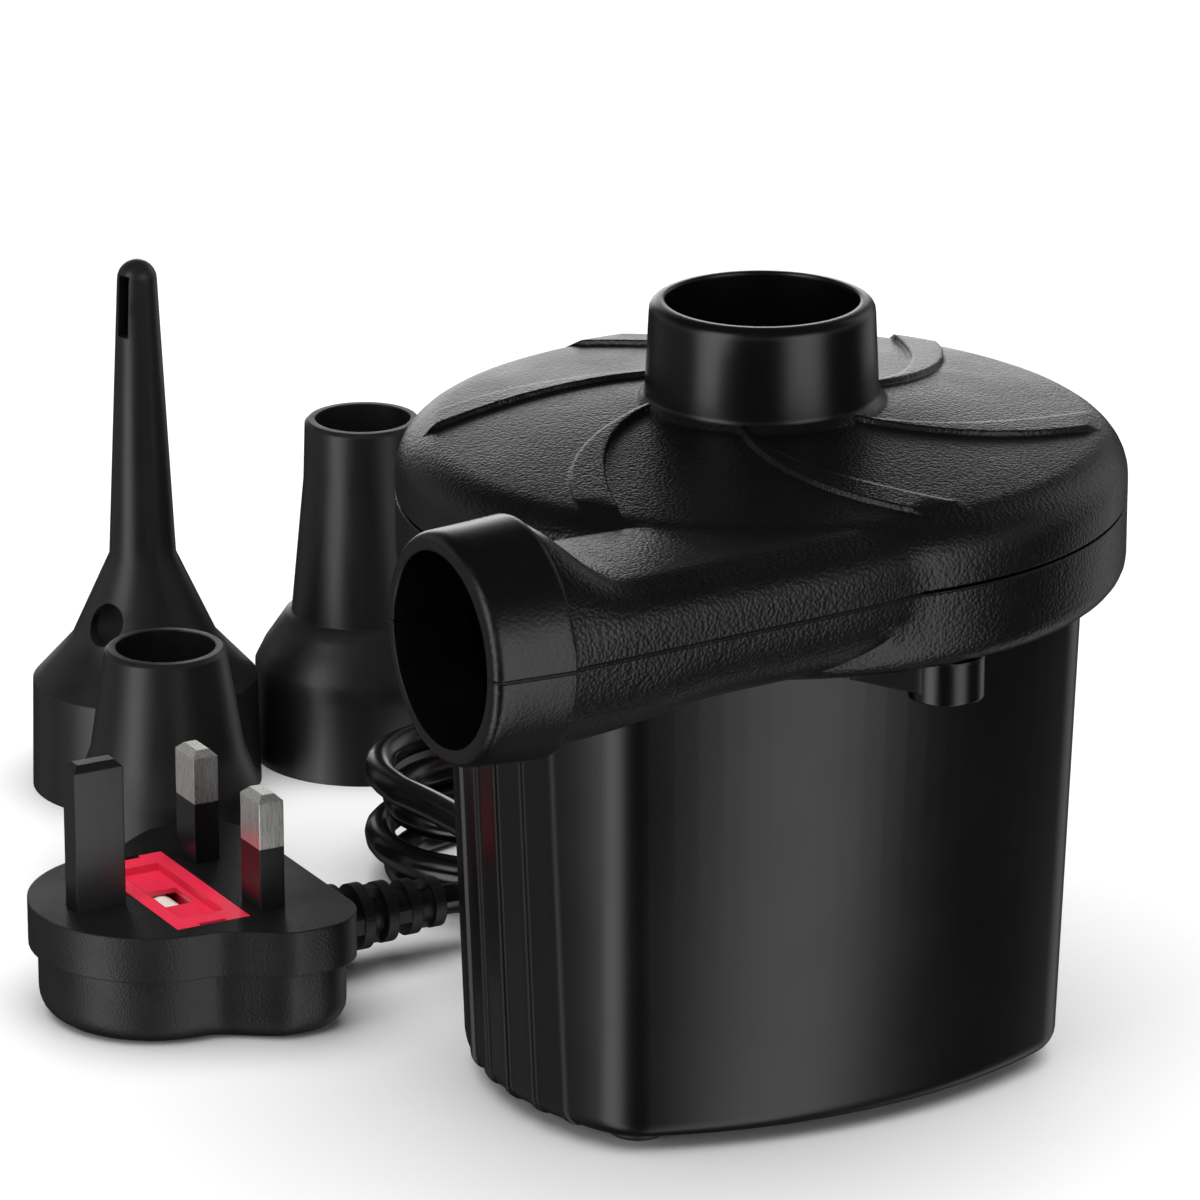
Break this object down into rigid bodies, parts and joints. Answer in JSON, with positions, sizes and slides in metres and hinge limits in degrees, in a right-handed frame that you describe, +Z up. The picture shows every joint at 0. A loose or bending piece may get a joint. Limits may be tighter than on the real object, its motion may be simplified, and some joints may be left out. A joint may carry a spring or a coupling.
{
  "type": "electric air mattress pump",
  "caption": "Mains air pump with a round fan housing on a tapered motor housing, a top intake and a side outlet, a coiled lead with plug, and push-on nozzles.",
  "frame": {"origin": "on the floor under the fan axis, level with the underside of the rubber feet", "axes": "+Z up along the fan axis and the intake; -X is the way the outlet points; +Y is the back with the switch and the lead"},
  "size_m": [0.1821, 0.2264, 0.1158],
  "materials": {
    "textured_black": "moulded leather grain",
    "satin_black": "satin",
    "nozzle_black": "satin",
    "plug_black": "fine matt",
    "rubber": "matt",
    "cord_sheath": "satin",
    "screw_steel": "zinc plated",
    "motor_steel": "drawn",
    "ferrite": "ground",
    "carbon": "pressed",
    "copper": "lacquered",
    "brass": "plain",
    "board": "plain",
    "diode": "moulded",
    "capacitor": "dipped",
    "brown_wire": "extruded",
    "blue_wire": "extruded",
    "red_plastic": "moulded",
    "fuse_ceramic": "glazed"
  },
  "bodies": {
    "pump": {"top_cover": "textured_black", "volute_base": "textured_black", "motor_housing": "satin_black", "rubber_feet": "rubber", "cover_screws": "screw_steel", "housing_screws": "screw_steel", "motor_can": "motor_steel", "motor_end_bell": "satin_black", "field_magnets": "ferrite", "front_bush": "brass", "rear_bush": "brass", "carbon_brushes": "carbon", "brush_springs": "brass", "motor_terminals": "brass", "motor_screws": "screw_steel", "motor_gasket": "rubber", "rectifier_board": "board", "rectifier_diodes": "diode", "suppression_capacitor": "capacitor", "live_wire": "brown_wire", "switched_wire": "brown_wire", "neutral_wire": "blue_wire", "switch_body": "satin_black", "switch_terminals": "brass", "cord_gland": "rubber", "cord_lead": "cord_sheath", "cord_hank": "cord_sheath", "cord_tie": "rubber", "cord_tail": "cord_sheath", "plug_strain_relief": "rubber", "plug_body": "plug_black", "plug_pins": "brass", "pin_sleeves": "plug_black", "earth_pin": "plug_black", "pin_nozzle": "nozzle_black", "long_nozzle": "nozzle_black", "short_nozzle": "nozzle_black"},
    "rotor": {"impeller": "satin_black", "impeller_nut": "brass", "motor_shaft": "screw_steel", "armature_core": "motor_steel", "armature_windings": "copper", "commutator": "copper"},
    "rocker": {"switch_rocker": "satin_black"},
    "fuse_drawer": {"fuse_carrier": "red_plastic", "fuse": "fuse_ceramic"}
  },
  "joints": [
    {"name": "fan_spin", "type": "hinge", "parent": "pump", "child": "rotor", "pos_m": [0, 0, 0.08], "axis": [0, 0, 1], "continuous": true},
    {"name": "switch_rock", "type": "hinge", "parent": "pump", "child": "rocker", "pos_m": [0, 0.03164, 0.046], "axis": [1, 0, 0], "range_deg": [0, 16]},
    {"name": "fuse_carrier_slide", "type": "slide", "parent": "pump", "child": "fuse_drawer", "axis": [0, 0, 1], "range_m": [0, 0.012]}
  ]
}
